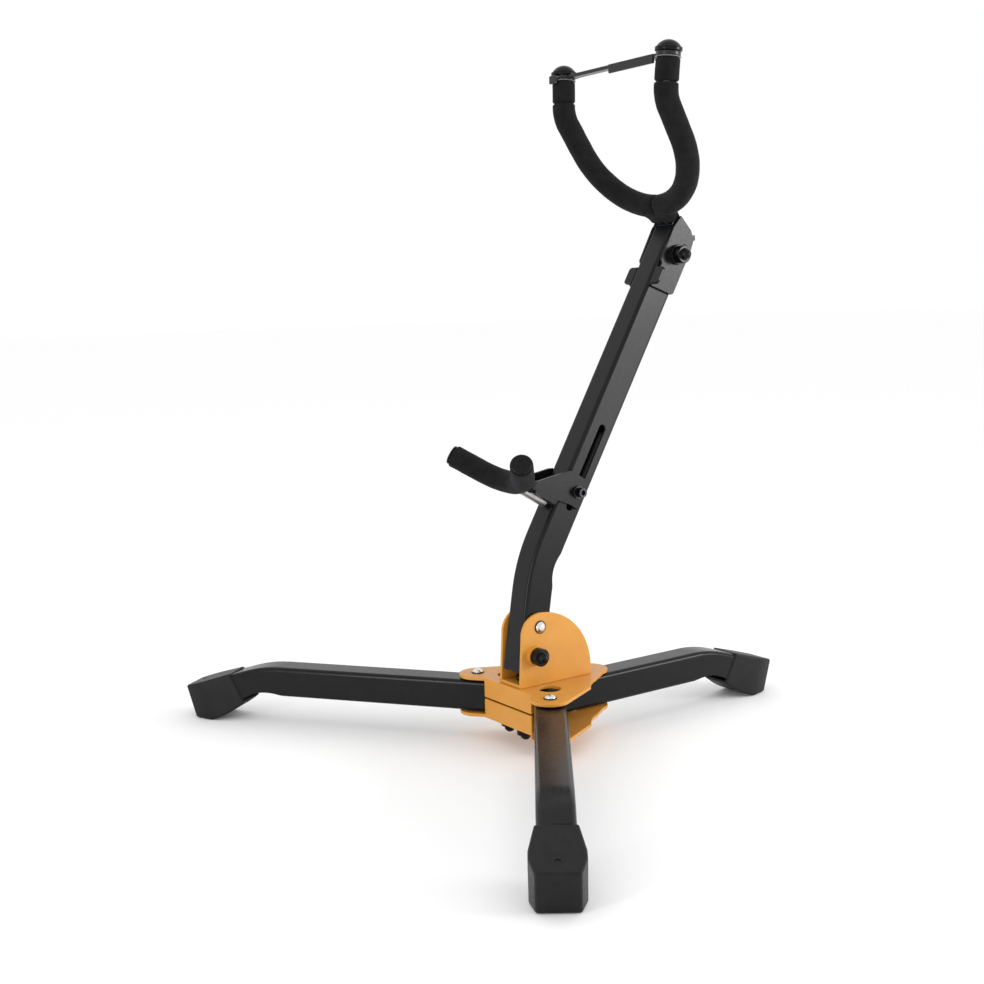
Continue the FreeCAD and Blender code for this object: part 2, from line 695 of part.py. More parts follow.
def side_plate(points):
    """Sheet side in the post's plane, from (across, along) points, on the +X side."""
    corners = [vec(BRACKET_IN, across, along) for across, along in points]
    return extruded_outline(outline_edges(corners), vec(BRACKET_OUT - BRACKET_IN, 0, 0))


def wing():
    """Finger tab standing out from the bracket's front edge, its outer corners rounded."""
    low, high = WING_SPAN
    edge = BRACKET_OUT + WING_REACH
    tab = box((BRACKET_IN, WING_FRONT, low), (edge, WING_FRONT + YOKE_SHEET, high))
    for z, way in ((low, 1), (high, -1)):
        centre = vec(edge - WING_CORNER, WING_FRONT - 1.0, z + way * WING_CORNER)
        reach = WING_CORNER + 1.0
        corner = box((centre.x, centre.y, min(z - way, centre.z)),
                     (centre.x + reach, centre.y + 2 * reach, max(z - way, centre.z)))
        tab = tab.cut(corner.cut(rod(WING_CORNER, centre, centre.add(vec(0, 2 * reach, 0)))))
    return tab


def fork_bracket():
    """Channel over the post's top: two shaped sides, a web on the post's end, two finger wings."""
    low, high = WING_SPAN
    sides = [(-9.8, 126.6), (-12.5, 115.0), (-11.6, 85.5), (-9.6, 83.5), (-9.6, 80.5), (WING_FRONT, high),
             (WING_FRONT, low), (-10.5, 62.2), (11.5, 66.2), (13.2, 68.0), (13.0, 108.0), (11.6, 115.8),
             (12.9, 117.6), (10.6, 120.8), (8.4, 119.2), (5.1, 122.0)]
    across, along = FORK_LOCK[1], FORK_LOCK[0]
    boss = rod(BOSS, vec(BRACKET_OUT, across, along), vec(BRACKET_OUT + BOSS_RISE, across, along))
    half = side_plate(sides).fuse(wing())
    front = -POST_DEPTH / 2 - WEB_PROUD
    web = box((-BRACKET_IN, front, WEB_LOW), (BRACKET_IN, WEB_REAR, WEB_LOW + WEB_THICK))
    body = half.fuse([mirrored(half), web, boss])
    body = body.cut(rod(BARREL, vec(0, across, along), vec(BIG, across, along)))
    pivot = rod(PIN, vec(-BIG, FORK_PIVOT[1], FORK_PIVOT[0]), vec(BIG, FORK_PIVOT[1], FORK_PIVOT[0]))
    return on_post(body.cut(pivot).removeSplitter())


def fork_pivot_pin():
    along, across = FORK_PIVOT
    return on_post(rod(PIN, vec(-BRACKET_OUT, across, along), vec(BRACKET_OUT, across, along)))


def fork_point(x, v):
    """Point in the fork's plane, v up its slope from the bottom of the U."""
    lean = math.radians(FORK_LEAN)
    return vec(x, FORK_Y - v * math.sin(lean), FORK_Z + v * math.cos(lean))


def arc_end():
    """Where the U arc of the right arm meets its flaring straight, as (x, v)."""
    flare = math.radians(FORK_FLARE)
    return FORK_ARC * math.cos(flare), FORK_ARC - FORK_ARC * math.sin(flare)


def tip_point(distance):
    """Point on the right tip's line, measured from the corner of the elbow."""
    x, v = arc_end()
    elbow = fork_point(x + (FORK_ELBOW - v) * math.tan(math.radians(FORK_FLARE)), FORK_ELBOW)
    return elbow.add(vec(*TIP_DIRECTION).normalize().multiply(distance))


def fork_path(tip_length):
    """Stem, outward turn, U arc, flaring arm, elbow and upright tip of the right rod."""
    turn_x = STEM_X + STEM_ARC
    turn_v = FORK_ARC - math.sqrt((FORK_ARC + STEM_ARC) ** 2 - turn_x ** 2)
    reach = FORK_ARC / (FORK_ARC + STEM_ARC)
    meet_x = turn_x * reach
    meet_v = FORK_ARC - (FORK_ARC - turn_v) * reach
    meet_angle = math.atan2(meet_v - turn_v, meet_x - turn_x)
    middle = (math.pi + meet_angle) / 2
    stem_end = fork_point(STEM_X, turn_v)
    turn_mid = fork_point(turn_x + STEM_ARC * math.cos(middle), turn_v + STEM_ARC * math.sin(middle))
    meet = fork_point(meet_x, meet_v)
    start_angle = math.atan2(meet_v - FORK_ARC, meet_x)
    half = (start_angle - math.radians(FORK_FLARE)) / 2
    arc_mid = fork_point(FORK_ARC * math.cos(half), FORK_ARC + FORK_ARC * math.sin(half))
    flare_start = fork_point(*arc_end())
    upper = path_wire([flare_start, tip_point(0), tip_point(tip_length)], [FORK_ELBOW_ARC])
    edges = [Part.makeLine(fork_point(STEM_X, STEM_ROOT), stem_end),
             Part.Arc(stem_end, turn_mid, meet).toShape(), Part.Arc(meet, arc_mid, flare_start).toShape()]
    return Part.Wire(edges + upper.Edges)


def above_web(shape, gap):
    """Cut away everything below the top face of the bracket's web."""
    level = WEB_LOW + WEB_THICK + gap
    return shape.cut(on_post(box((-BIG, -BIG, level - BIG), (BIG, BIG, level))))


def fork_rod():
    return above_web(round_pipe(fork_path(TIP_LENGTH), FORK_ROD), 0)


def fork_foam():
    """Foam sleeve of the right arm, pressed flat against its twin at the stem and inside the side plates."""
    sleeve = round_pipe(fork_path(FOAM_LENGTH), FORK_FOAM)
    sleeve = sleeve.cut(round_pipe(fork_path(TIP_LENGTH), FORK_ROD + FIT))
    plate_side = box((BRACKET_IN - FOAM_GAP, -POST_DEPTH / 2 - 1.2, 0), (BIG, BIG, FOAM_FREE))
    half = sleeve.common(box((FOAM_GAP, -BIG, 0), (BIG, BIG, 2 * BIG)))
    return above_web(half.cut(on_post(plate_side)), FOAM_GAP)


def tip_sleeve():
    return ring(FORK_FOAM, FORK_ROD + FIT, tip_point(SLEEVE_START), tip_point(SLEEVE_END))


def tip_cap():
    """Mushroom cap: disc below, dome above, bored for the rod's end."""
    radius, rise = CAP_CROWN
    shoulder = tip_point(CAP_START + CAP_DISC)
    disc = rod(CAP_RADIUS, tip_point(CAP_START), shoulder)
    crown = dome(radius, rise, shoulder, TIP_DIRECTION)
    return disc.fuse(crown).cut(rod(FORK_ROD, tip_point(CAP_START - 1.0), tip_point(TIP_LENGTH)))


def tip_ring():
    radius, thick = TIP_RING
    return ring(radius, FORK_ROD + FIT, tip_point(SLEEVE_END), tip_point(SLEEVE_END + thick))


def tip_rod(radius, low, high):
    return rod(radius, tip_point(low), tip_point(high))


def latch_bar():
    """Bar from an eye on the right arm to a hook round the left arm, with a blade below its right half."""
    base = tip_point(LATCH_START)
    top = LATCH_START + LATCH_THICK
    span = 2 * base.x
    room = FORK_ROD + 0.5
    under = LATCH_THICK - LATCH_SLIM
    rib = box((-span / 2, -4.5, 0), (0, 4.5, LATCH_THICK))
    slim = box((-span, -4.0, under), (-span / 2 + 1.0, 4.0, LATCH_THICK))
    blade = box((-span / 2, -5.6, -LATCH_BLADE), (-CAP_RADIUS - 1.0, -3.4, LATCH_THICK))
    tab = box((-span - 3.0, -13.0, under), (-span + 5.0, -6.0, LATCH_THICK))
    lip = box((-span - 3.0, -13.0, under - LATCH_BLADE), (-span + 5.0, -11.0, LATCH_THICK))
    mouth = box((-span - room, 0, -1), (-span + room, 2 * CAP_RADIUS, LATCH_THICK + 2))
    flat = rib.fuse([slim, blade, tab, lip]).cut(mouth)
    flat.translate(base)
    mouth.translate(base)
    eye = tip_rod(LATCH_EYE, LATCH_START, top)
    hook = mirrored(tip_rod(LATCH_EYE, LATCH_START + under, top)).cut(mouth)
    below = tip_rod(CAP_RADIUS + 0.5, SLEEVE_START, LATCH_START)
    above = tip_rod(CAP_RADIUS + 0.5, top, top + CAP_RADIUS)
    bore = tip_rod(FORK_ROD + FIT, 0, TIP_LENGTH)
    throat = mirrored(tip_rod(room, 0, TIP_LENGTH))
    bar = eye.fuse([flat, hook]).cut([below, above, mirrored(below), mirrored(above), bore, throat])
    return bar.removeSplitter()


# --- cradle ---

def cradle_point(x, out):
    """Point in the V's plane, which rises a little forwards from square to the post."""
    rise = out * math.tan(math.radians(CRADLE_TILT))
    return post_point(CRADLE_ALONG + rise, CRADLE_ACROSS - out, x)


def cradle_path():
    points = [cradle_point(-CRADLE_TIP_X, CRADLE_TIP_OUT), cradle_point(0, CRADLE_VERTEX),
              cradle_point(CRADLE_TIP_X, CRADLE_TIP_OUT)]
    return path_wire(points, [CRADLE_ARC])


def cradle_rod():
    return round_pipe(cradle_path(), CRADLE_ROD)


def cradle_middle():
    """Middle of the V's rounded vertex."""
    arc = cradle_path().Edges[1]
    return arc.valueAt((arc.FirstParameter + arc.LastParameter) / 2)


def stem_bar(radius):
    """Bar along the stem's axis, square to the post, from its web to the middle of the V."""
    end = cradle_middle()
    lean = math.radians(POST_LEAN)
    square = vec(0, math.cos(lean), -math.sin(lean))
    reach = post_point(0, -POST_DEPTH / 2 - CRADLE_GAP - SHEET).sub(post_point(0, 0)).dot(square)
    start = end.add(vec(*square).multiply(reach - end.sub(post_point(0, 0)).dot(square)))
    return rod(radius, start, end)


def cradle_stem():
    return stem_bar(CRADLE_STEM).cut(cradle_rod())


def cradle_foam():
    """One foam sleeve over the whole V, longer than its rod, holed for the stem."""
    path = cradle_path()
    sleeve = round_pipe(path, CRADLE_FOAM)
    sleeve = sleeve.cut(round_pipe(path, CRADLE_ROD + FIT))
    return sleeve.cut(stem_bar(CRADLE_STEM + FIT))


def cradle_plug():
    """Dished plug over the end of the rod, in the mouth of the foam."""
    tip = cradle_point(CRADLE_TIP_X, CRADLE_TIP_OUT)
    way = tip.sub(cradle_point(0, CRADLE_VERTEX)).normalize()
    radius, depth = PLUG_DISH
    face = tip.add(vec(*way).multiply(PLUG_THICK))
    disc = rod(CRADLE_FOAM - 1.2, tip.add(vec(*way).multiply(0.1)), face)
    return disc.cut(rod(radius, face.sub(vec(*way).multiply(depth)), face.add(way)))


def cradle_bracket():
    """Clamp channel: two pointed sides, a web before the post and a bridge round the stem."""
    sides = [(-39.1, -124.3), (-15.3, -104.4), (-11.8, -102.4), (7.5, -103.0), (9.0, -104.5), (9.0, -126.0),
             (7.8, -127.3), (0.0, -126.8), (-13.4, -128.8), (-14.5, CRADLE_LOW), (-33.5, CRADLE_LOW),
             (-40.1, -129.3)]
    plate = side_plate(sides)
    front = POST_DEPTH / 2 + CRADLE_GAP
    web = box((-BRACKET_IN, -front - SHEET, CRADLE_LOW), (BRACKET_IN, -front, -116.0))
    bridge = box((-BRACKET_IN, BRIDGE[0], CRADLE_LOW), (BRACKET_IN, BRIDGE[1], -123.0))
    body = plate.fuse([mirrored(plate), web, bridge])
    bore = rod(HOLE, vec(-BIG, SLOT_ACROSS, CLAMP_ALONG), vec(BIG, SLOT_ACROSS, CLAMP_ALONG))
    return on_post(body.cut(bore).removeSplitter()).cut(stem_bar(CRADLE_STEM))


def clamp_rod(radius, low, high):
    return on_post(rod(radius, vec(low, SLOT_ACROSS, CLAMP_ALONG), vec(high, SLOT_ACROSS, CLAMP_ALONG)))


def clamp_bolt():
    radius, height = CLAMP_HEAD
    head_start = BRACKET_OUT + CLAMP_WASHER[1]
    head_end = head_start + height
    face = vec(head_end, SLOT_ACROSS, CLAMP_ALONG)
    socket = on_post(hexagon(CLAMP_SOCKET, face, Y_AXIS, Z_AXIS).extrude(vec(-height / 2, 0, 0)))
    shaft = clamp_rod(SHAFT, -BRACKET_OUT - CLAMP_PAST_SHEET, head_start)
    return shaft.fuse(clamp_rod(radius, head_start, head_end)).cut(socket).removeSplitter()


def clamp_washer():
    radius, thick = CLAMP_WASHER
    return clamp_rod(radius, BRACKET_OUT, BRACKET_OUT + thick).cut(clamp_rod(HOLE, 0, BIG))


def hand_knob():
    """Round knob with finger scallops, a hub towards the sheet and a pocket for its insert."""
    hub_radius, hub_length = HAND_KNOB_HUB
    start = -BRACKET_OUT - 0.6
    body = clamp_rod(hub_radius, start - hub_length, start)
    body = body.fuse(clamp_rod(HAND_KNOB, start - hub_length - HAND_KNOB_RIM, start - hub_length))
    radius, out = SCALLOP
    for i in range(SCALLOPS):
        angle = math.radians(360 * i / SCALLOPS)
        y = SLOT_ACROSS + (HAND_KNOB + out) * math.cos(angle)
        z = CLAMP_ALONG + (HAND_KNOB + out) * math.sin(angle)
        body = body.cut(on_post(rod(radius, vec(-BIG, y, z), vec(0, y, z))))
    return body.cut(clamp_rod(INSERT[0], start - INSERT[1] - 0.1, start)).removeSplitter()


def knob_insert():
    radius, length = INSERT
    start = -BRACKET_OUT - 0.1
    return clamp_rod(radius, start - length, start).cut(clamp_rod(HOLE, -BIG, 0))


# --- the whole stand ---

def build():
    """Every sub-part by node name, drawn about the hub."""
    nodes = {}
    nodes["hub_top_shell"] = hub_top()
    nodes["hub_bottom_shell"] = hub_bottom()
    nodes["yoke_bracket"] = yoke()
    right_leg = on_leg(swinging_leg())
    nodes["right_leg_tube"] = right_leg
    nodes["left_leg_tube"] = mirrored(right_leg)
    rear = on_rear(leg_tube(REAR_LEG_FRONT_Y - REAR_BEND_Y + LEG_BEND_AT))
    for y in CENTRE_FASTENERS:
        rear = rear.cut(rod(HOLE, vec(0, y, 0), vec(0, y, BIG)))
    nodes["rear_leg_tube"] = rear
    boot = foot()
    nodes["right_foot"] = on_leg(boot)
    nodes["left_foot"] = mirrored(on_leg(boot))
    nodes["rear_foot"] = on_rear(boot)

    low, high = hub_axis(PIVOT_X, PIVOT_Y)
    nodes["leg_pivot_rivets"] = pair(domed_rivet(low, high, SHAFT))
    rings = rivet_rings(low, high).Solids
    nodes["leg_rivet_rings"] = Part.makeCompound(rings + [mirrored(r) for r in rings])
    inside = vec(0, 0, SHEET)
    bush = ring(BUSH, HOLE, low.add(inside), high.sub(inside))
    nodes["leg_pivot_bushes"] = pair(bush)
    washers = plate_washers(PIVOT_X, PIVOT_Y, PIVOT_WASHER, BUSH + FIT)
    nodes["leg_pivot_washers"] = Part.makeCompound(washers + [mirrored(w) for w in washers])
    nodes["centre_bolt"] = centre_bolt()
    nodes["centre_cap_nut"] = centre_cap()
    nodes["rear_leg_rivet"] = rear_rivet()
    nodes["rear_leg_spacers"] = Part.makeCompound([tube_spacer(y) for y in CENTRE_FASTENERS])
    nodes["rear_leg_shims"] = rear_shims()

    lock_x, lock_y = lock_spot()
    down = vec(0, 0, -1)
    leg_spot = vec(lock_x, lock_y, HUB_BOTTOM_Z)
    yoke_spot = vec(YOKE_HALF, YOKE_LOCK_Y, YOKE_LOCK_Z)
    fork_spot = post_point(FORK_LOCK[0], FORK_LOCK[1], BRACKET_OUT)
    for name, make in (("barrel", plunger_barrel), ("spring", plunger_spring),
                       ("pin", plunger_pin), ("knob", plunger_knob)):
        on_hub = place_plunger(make(), leg_spot, down)
        nodes["right_leg_lock_" + name] = on_hub
        nodes["left_leg_lock_" + name] = mirrored(on_hub)
        nodes["post_lock_" + name] = place_plunger(make(), yoke_spot, X_AXIS)
        nodes["fork_lock_" + name] = place_plunger(make(), fork_spot, X_AXIS)

    nodes["post_tube"] = post_tube()
    start = vec(-YOKE_HALF, YOKE_PIVOT_Y, YOKE_PIVOT_Z)
    end = vec(YOKE_HALF, YOKE_PIVOT_Y, YOKE_PIVOT_Z)
    nodes["post_pivot_rivet"] = domed_rivet(start, end, SHAFT)
    nodes["post_pivot_rings"] = rivet_rings(start, end)
    inner = YOKE_HALF - YOKE_SHEET
    nodes["post_pivot_bush"] = ring(BUSH, HOLE, vec(-inner, YOKE_PIVOT_Y, YOKE_PIVOT_Z),
                                    vec(inner, YOKE_PIVOT_Y, YOKE_PIVOT_Z))
    side = POST_WIDTH / 2
    washer = ring(POST_WASHER, BUSH + FIT, vec(side + FIT, YOKE_PIVOT_Y, YOKE_PIVOT_Z),
                  vec(inner - FIT, YOKE_PIVOT_Y, YOKE_PIVOT_Z))
    nodes["post_pivot_washers"] = pair(washer)

    nodes["cradle_bracket"] = cradle_bracket()
    nodes["cradle_stem"] = cradle_stem()
    nodes["cradle_rod"] = cradle_rod()
    nodes["cradle_foam"] = cradle_foam()
    nodes["cradle_plugs"] = pair(cradle_plug())
    nodes["cradle_bolt"] = clamp_bolt()
    nodes["cradle_washer"] = clamp_washer()
    nodes["cradle_hand_knob"] = hand_knob()
    nodes["cradle_knob_insert"] = knob_insert()

    nodes["fork_bracket"] = fork_bracket()
    nodes["fork_pivot_pin"] = fork_pivot_pin()
    nodes["right_fork_rod"] = fork_rod()
    nodes["left_fork_rod"] = mirrored(nodes["right_fork_rod"])
    nodes["right_fork_foam"] = fork_foam()
    nodes["left_fork_foam"] = mirrored(nodes["right_fork_foam"])
    nodes["fork_tip_sleeves"] = pair(tip_sleeve())
    nodes["fork_tip_rings"] = pair(tip_ring())
    nodes["fork_tip_caps"] = pair(tip_cap())
    nodes["latch_bar"] = latch_bar()
    return nodes


def centre_offset(nodes):
    """Move that puts the bottom centre of the stand's bounding box at the origin."""
    whole = FreeCAD.BoundBox()
    for shape in nodes.values():
        whole.add(shape.optimalBoundingBox(True, False))
    return vec(0, -(whole.YMin + whole.YMax) / 2, 0)


NODES = build()
OFFSET = centre_offset(NODES)
os.makedirs("parts", exist_ok=True)
for node, solid in NODES.items():
    solid.translate(OFFSET)
    solid.exportStep("parts/" + node + ".step")
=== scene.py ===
import json
import math

import bmesh
import bpy
from mathutils import Matrix, Vector, noise

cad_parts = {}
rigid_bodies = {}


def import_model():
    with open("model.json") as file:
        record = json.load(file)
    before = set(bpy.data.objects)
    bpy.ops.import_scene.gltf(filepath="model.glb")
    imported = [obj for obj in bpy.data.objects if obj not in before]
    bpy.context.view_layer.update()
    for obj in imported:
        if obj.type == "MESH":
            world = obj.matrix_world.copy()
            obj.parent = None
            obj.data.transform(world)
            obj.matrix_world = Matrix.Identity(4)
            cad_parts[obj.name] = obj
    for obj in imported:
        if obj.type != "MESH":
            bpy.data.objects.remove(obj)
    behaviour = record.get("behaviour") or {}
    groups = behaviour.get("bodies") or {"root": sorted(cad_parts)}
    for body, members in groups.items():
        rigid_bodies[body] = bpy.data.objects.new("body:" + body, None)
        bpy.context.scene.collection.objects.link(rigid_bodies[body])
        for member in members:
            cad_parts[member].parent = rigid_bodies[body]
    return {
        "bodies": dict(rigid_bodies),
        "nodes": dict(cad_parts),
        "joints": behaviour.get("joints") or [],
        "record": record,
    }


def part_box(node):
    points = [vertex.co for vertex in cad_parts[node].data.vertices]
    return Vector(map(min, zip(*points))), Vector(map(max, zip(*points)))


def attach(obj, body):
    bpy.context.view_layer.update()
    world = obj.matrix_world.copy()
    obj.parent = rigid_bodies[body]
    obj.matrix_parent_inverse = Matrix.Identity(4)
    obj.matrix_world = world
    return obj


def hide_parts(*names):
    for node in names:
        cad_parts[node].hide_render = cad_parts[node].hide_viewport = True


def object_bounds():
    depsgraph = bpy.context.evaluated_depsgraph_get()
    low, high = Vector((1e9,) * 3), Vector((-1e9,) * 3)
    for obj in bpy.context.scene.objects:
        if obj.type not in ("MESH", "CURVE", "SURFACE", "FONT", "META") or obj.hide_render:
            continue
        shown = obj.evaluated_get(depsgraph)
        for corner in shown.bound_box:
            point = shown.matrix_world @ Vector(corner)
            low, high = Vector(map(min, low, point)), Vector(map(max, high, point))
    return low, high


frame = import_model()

# A folding saxophone stand: metal and moulded pieces from the frame, foam sleeves built here.
# Lengths are in millimetres, turned into metres by MM, unless a heading says metres.

MM = 0.001
CAD_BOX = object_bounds()
NODES = frame["nodes"]
TINY = 1e-9

# --- the frame's shift: the pivot rivets stand 19 mm in front of the hub's centre ---
PIVOT_Y = -19.0
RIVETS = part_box("leg_pivot_rivets")
HUB_SHIFT = (RIVETS[0].y + RIVETS[1].y) / 2 - PIVOT_Y * MM

# --- post ---
POST_LEAN = math.radians(30.16)
POST_REF = (95.38, 300.0)

# --- fork ---
FORK_Y, FORK_Z = 138.0, 423.0
FORK_LEAN = math.radians(32.4)
FORK_ARC = 59.5
FORK_FLARE = math.radians(3.5)
STEM_X = 4.2
STEM_ARC = 12.0
STEM_ROOT = -22.0
FORK_ELBOW = 88.6
FORK_ELBOW_ARC = 26.0
TIP_WAY = Vector((0.05, 0.06, 1.0)).normalized()
FORK_FOAM_END = 10.5
SLEEVE_SPAN = (11.0, 28.3)
FOAM_RADIUS = 9.25
ROD_RADIUS = 3.95
WEB_TOP = 119.05
PLATE_INSIDE = 11.0
PLATE_TOP = 128.4
PLATE_FRONT = -13.95
PLATE_RELEASE = 5.0
TWIN_GAP = 0.12
CROTCH_WIDTH = 13.0
CROTCH_CREASE = 1.1
CREASE_WIDTH = 1.5
CROTCH_BLEND = (2.0, 6.0)

# --- cradle ---
CRADLE_ALONG = -131.0
CRADLE_ACROSS = -57.5
CRADLE_TIP = (45.0, 23.6)
CRADLE_VERTEX = -22.6
CRADLE_ARC = 38.0
CRADLE_TILT = math.radians(9.7)
CRADLE_FOAM_RADIUS = 8.75
CRADLE_ROD_RADIUS = 4.05

# --- foam skin: soft waves, a fine ripple, and creases where a bend pinches it ---
SEGMENTS = 56
FOAM_STEP = 0.9
END_ROUND = 1.6
END_RINGS = 5
WAVE, WAVE_SCALE = 0.16, 0.11
RIPPLE, RIPPLE_SCALE = 0.05, 0.5
CREASE, CREASE_PITCH = 0.34, 1.15
CREASE_WAY = Vector((0.35, 0.5, 0.8))
PINCH_GAIN, PINCH_LIMIT = 9.0, 0.5
STEM_STEPS, ARC_STEPS = 14, 70
NEAR_ROD = 1.0
FORK_SEED = Vector((3.1, 7.7, 1.3))
CRADLE_SEED = Vector((9.2, 2.4, 5.1))

# --- edges of the metal and moulded pieces ---
WELD_GAP = 0.002
FLAT_ANGLE = math.radians(0.5)
SMOOTH_ANGLE = math.radians(32.0)
SHARP_EDGE = math.radians(38.0)
SHORT_EDGE = 0.9
EDGE_WIDTH = 0.3
EDGE_WIDTHS = {"orange_paint": 0.5, "foot_rubber": 1.8, "knob_plastic": 0.6, "latch_plastic": 0.5}
EDGE_SEGMENTS = 3
LEVEL_WEIGHT = 80

# --- materials: the part of a noise's range that most of it lies in ---
NOISE_RANGE = (0.3, 0.7)

# --- stage and lights, in metres ---
FLOOR_SIZE = 40.0
FLOOR_DROP = 0.0002
HIGH_PANEL = {"place": (1.36, 1.25, 0.60), "target": (0.0, 0.0, 0.42), "size": (0.7, 0.5)}
LOW_PANEL = {"place": (1.25, 1.02, 0.16), "target": (0.0, 0.0, 0.2), "size": (0.6, 0.3)}
STRIP = {"place": (0.35, -1.7, 0.42), "target": (0.0, 0.0, 0.3), "size": (0.16, 0.9)}
HIGH_RADIANCE, LOW_RADIANCE, STRIP_RADIANCE = 12.0, 4.5, 16.0

# --- camera: place, lens and sensor in millimetres, and its nearest distance in metres ---
CAMERA_AT = (842.4, -621.8, 348.7)
CAMERA_TURN = math.radians(55.09)
CAMERA_DIP = math.radians(7.9)
CAMERA_ROLL = math.radians(-1.5)
LENS = 49.86
SENSOR_WIDTH = 36.0
NEAREST = 0.01


def at(x, y, z):
    """A point of the drawing about the hub, in metres in the frame."""
    return Vector((x * MM, y * MM + HUB_SHIFT, z * MM))


def post_point(along, across, x=0.0):
    """A point along and across the leaning post, in metres in the frame."""
    s, c = math.sin(POST_LEAN), math.cos(POST_LEAN)
    return at(x, POST_REF[0] + along * s + across * c, POST_REF[1] + along * c - across * s)


def post_place(p):
    """The inverse of post_point: (along, across) in millimetres."""
    s, c = math.sin(POST_LEAN), math.cos(POST_LEAN)
    y = (p.y - HUB_SHIFT) / MM - POST_REF[0]
    z = p.z / MM - POST_REF[1]
    return y * s + z * c, y * c - z * s


# ---------------------------------------------------------------- materials

class Shader:
    """Small helper round a node tree: make nodes, set their inputs, link them."""

    def __init__(self, name):
        self.material = bpy.data.materials.new(name)
        self.material.use_nodes = True
        self.tree = self.material.node_tree
        self.surface = self.tree.nodes["Principled BSDF"]
        coords = self.node("ShaderNodeTexCoord")
        self.place = coords.outputs["Object"]

    def node(self, kind, **inputs):
        made = self.tree.nodes.new(kind)
        for key, value in inputs.items():
            self.put(made, key.replace("_", " "), value)
        return made

    def put(self, node, key, value):
        socket = node.inputs[key]
        if isinstance(value, bpy.types.NodeSocket):
            self.tree.links.new(value, socket)
        else:
            socket.default_value = value

    def set(self, **inputs):
        for key, value in inputs.items():
            self.put(self.surface, key.replace("_", " "), value)

    def noise(self, scale, detail=3.0, rough=0.5):
        made = self.node("ShaderNodeTexNoise", Scale=scale, Detail=detail, Roughness=rough)
        self.put(made, "Vector", self.place)
        return made.outputs["Fac"]

    def cells(self, scale):
        made = self.node("ShaderNodeTexVoronoi", Scale=scale)
        self.put(made, "Vector", self.place)
        return made.outputs["Distance"]

    def ramp(self, value, low, high):
        """Map the range that most of a noise lies in to low..high."""
        made = self.node("ShaderNodeMapRange")
        self.put(made, "Value", value)
        made.inputs["From Min"].default_value = NOISE_RANGE[0]
        made.inputs["From Max"].default_value = NOISE_RANGE[1]
        made.inputs["To Min"].default_value = low
        made.inputs["To Max"].default_value = high
        return made.outputs["Result"]

    def blend(self, factor, first, second):
        made = self.tree.nodes.new("ShaderNodeMix")
        made.data_type = "RGBA"
        for socket in made.inputs:
            if socket.type == "RGBA" and socket.identifier.startswith("A_"):
                socket.default_value = (*first, 1.0)
            if socket.type == "RGBA" and socket.identifier.startswith("B_"):
                socket.default_value = (*second, 1.0)
        self.tree.links.new(factor, made.inputs[0])
        return next(s for s in made.outputs if s.type == "RGBA")

    def bump(self, height, distance, strength=1.0, under=None):
        made = self.node("ShaderNodeBump", Distance=distance, Strength=strength, Height=height)
        if under is not None:
            self.put(made, "Normal", under)
        return made.outputs["Normal"]


def orange_paint():
    """Satin orange-yellow paint on pressed steel: faint orange peel and a little unevenness."""
    s = Shader("orange_paint")
    colour = s.blend(s.ramp(s.noise(60.0), 0.0, 1.0), (0.575, 0.243, 0.021), (0.615, 0.266, 0.028))
    s.set(Base_Color=colour, Roughness=s.ramp(s.noise(220.0), 0.34, 0.42), Specular_IOR_Level=0.4)
    s.set(Coat_Weight=0.2, Coat_Roughness=0.3)
    s.set(Normal=s.bump(s.noise(900.0, 2.0), 0.00005))
    return s.material


def powder_coat():
    """Satin black powder coat with its fine pebble."""
    s = Shader("black_powder_coat")
    colour = s.blend(s.ramp(s.noise(90.0), 0.0, 1.0), (0.0038, 0.0040, 0.0048), (0.0058, 0.0060, 0.0070))
    s.set(Base_Color=colour, Roughness=s.ramp(s.noise(300.0), 0.23, 0.28), Specular_IOR_Level=0.2)
    s.set(Normal=s.bump(s.noise(520.0, 2.0), 0.000010))
    return s.material


def foot_rubber():
    """Matt moulded rubber with a little bloom."""
    s = Shader("foot_rubber")
    blotches = s.ramp(s.noise(120.0, 5.0), 0.0, 1.0)
    colour = s.blend(blotches, (0.0045, 0.0045, 0.0048), (0.0080, 0.0080, 0.0083))
    s.set(Base_Color=colour, Roughness=s.ramp(s.noise(300.0), 0.40, 0.50), Specular_IOR_Level=0.22)
    s.set(Normal=s.bump(s.noise(1500.0, 4.0), 0.00003))
    return s.material


def foam():
    """Closed-cell foam: open pores on the skin, soft sheen, faint blotches."""
    s = Shader("black_foam")
    blotches = s.ramp(s.noise(150.0, 4.0), 0.0, 1.0)
    colour = s.blend(blotches, (0.0060, 0.0060, 0.0064), (0.0105, 0.0105, 0.0110))
    s.set(Base_Color=colour, Roughness=0.85, Specular_IOR_Level=0.12)
    s.set(Sheen_Weight=0.04, Sheen_Roughness=0.4)
    coarse = s.bump(s.noise(260.0, 3.0), 0.0004, 0.5)
    s.set(Normal=s.bump(s.cells(1500.0), 0.00025, 0.8, coarse))
    return s.material


def plated(name, colour, rough, grain=700.0):
    """Plated or turned metal with fine marks."""
    s = Shader(name)
    darker = tuple(c * 0.86 for c in colour)
    s.set(Base_Color=s.blend(s.ramp(s.noise(grain, 4.0), 0.0, 1.0), colour, darker), Metallic=1.0)
    s.set(Roughness=s.ramp(s.noise(grain * 1.7), rough * 0.8, rough * 1.25))
    s.set(Normal=s.bump(s.noise(grain * 3.0), 0.00002))
    return s.material


